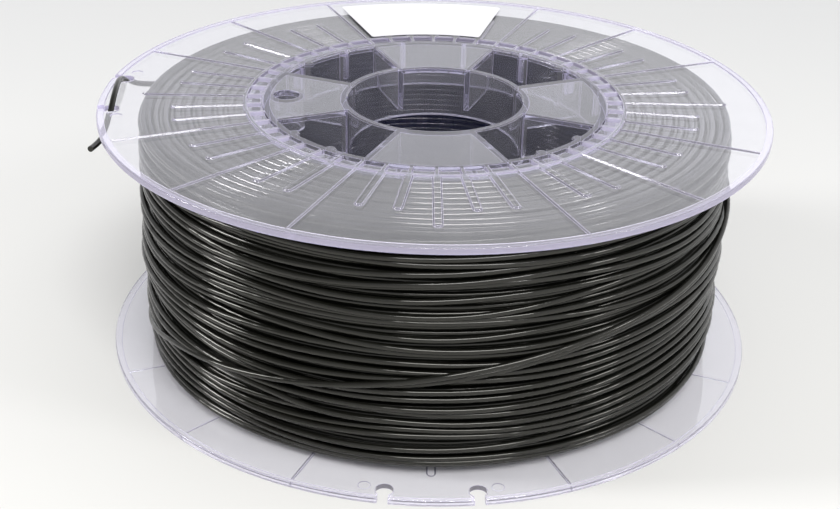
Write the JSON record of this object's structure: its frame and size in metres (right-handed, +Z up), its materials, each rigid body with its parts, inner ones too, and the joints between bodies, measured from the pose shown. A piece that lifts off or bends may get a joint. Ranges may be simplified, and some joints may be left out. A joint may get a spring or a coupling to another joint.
{
  "type": "filament spool",
  "caption": "Clear spool of two ribbed flanges on a drum, wound with black filament, its tail threaded through the rim.",
  "frame": {"origin": "middle of the rim face of the lower flange, on the spool's axis", "axes": "+Z up along the spool's axis from the lower flange to the upper flange, -Y towards the front of the picture"},
  "size_m": [0.2, 0.2, 0.0798],
  "materials": {
    "clear_plastic": "clear, faint blue-violet tint",
    "filament": "black, glossy",
    "label_paper": "white, satin"
  },
  "bodies": {
    "root": {"lower_flange": "clear_plastic", "upper_flange": "clear_plastic", "drum": "clear_plastic", "filament_winding": "filament", "filament_tail": "filament", "label": "label_paper"}
  },
  "joints": []
}
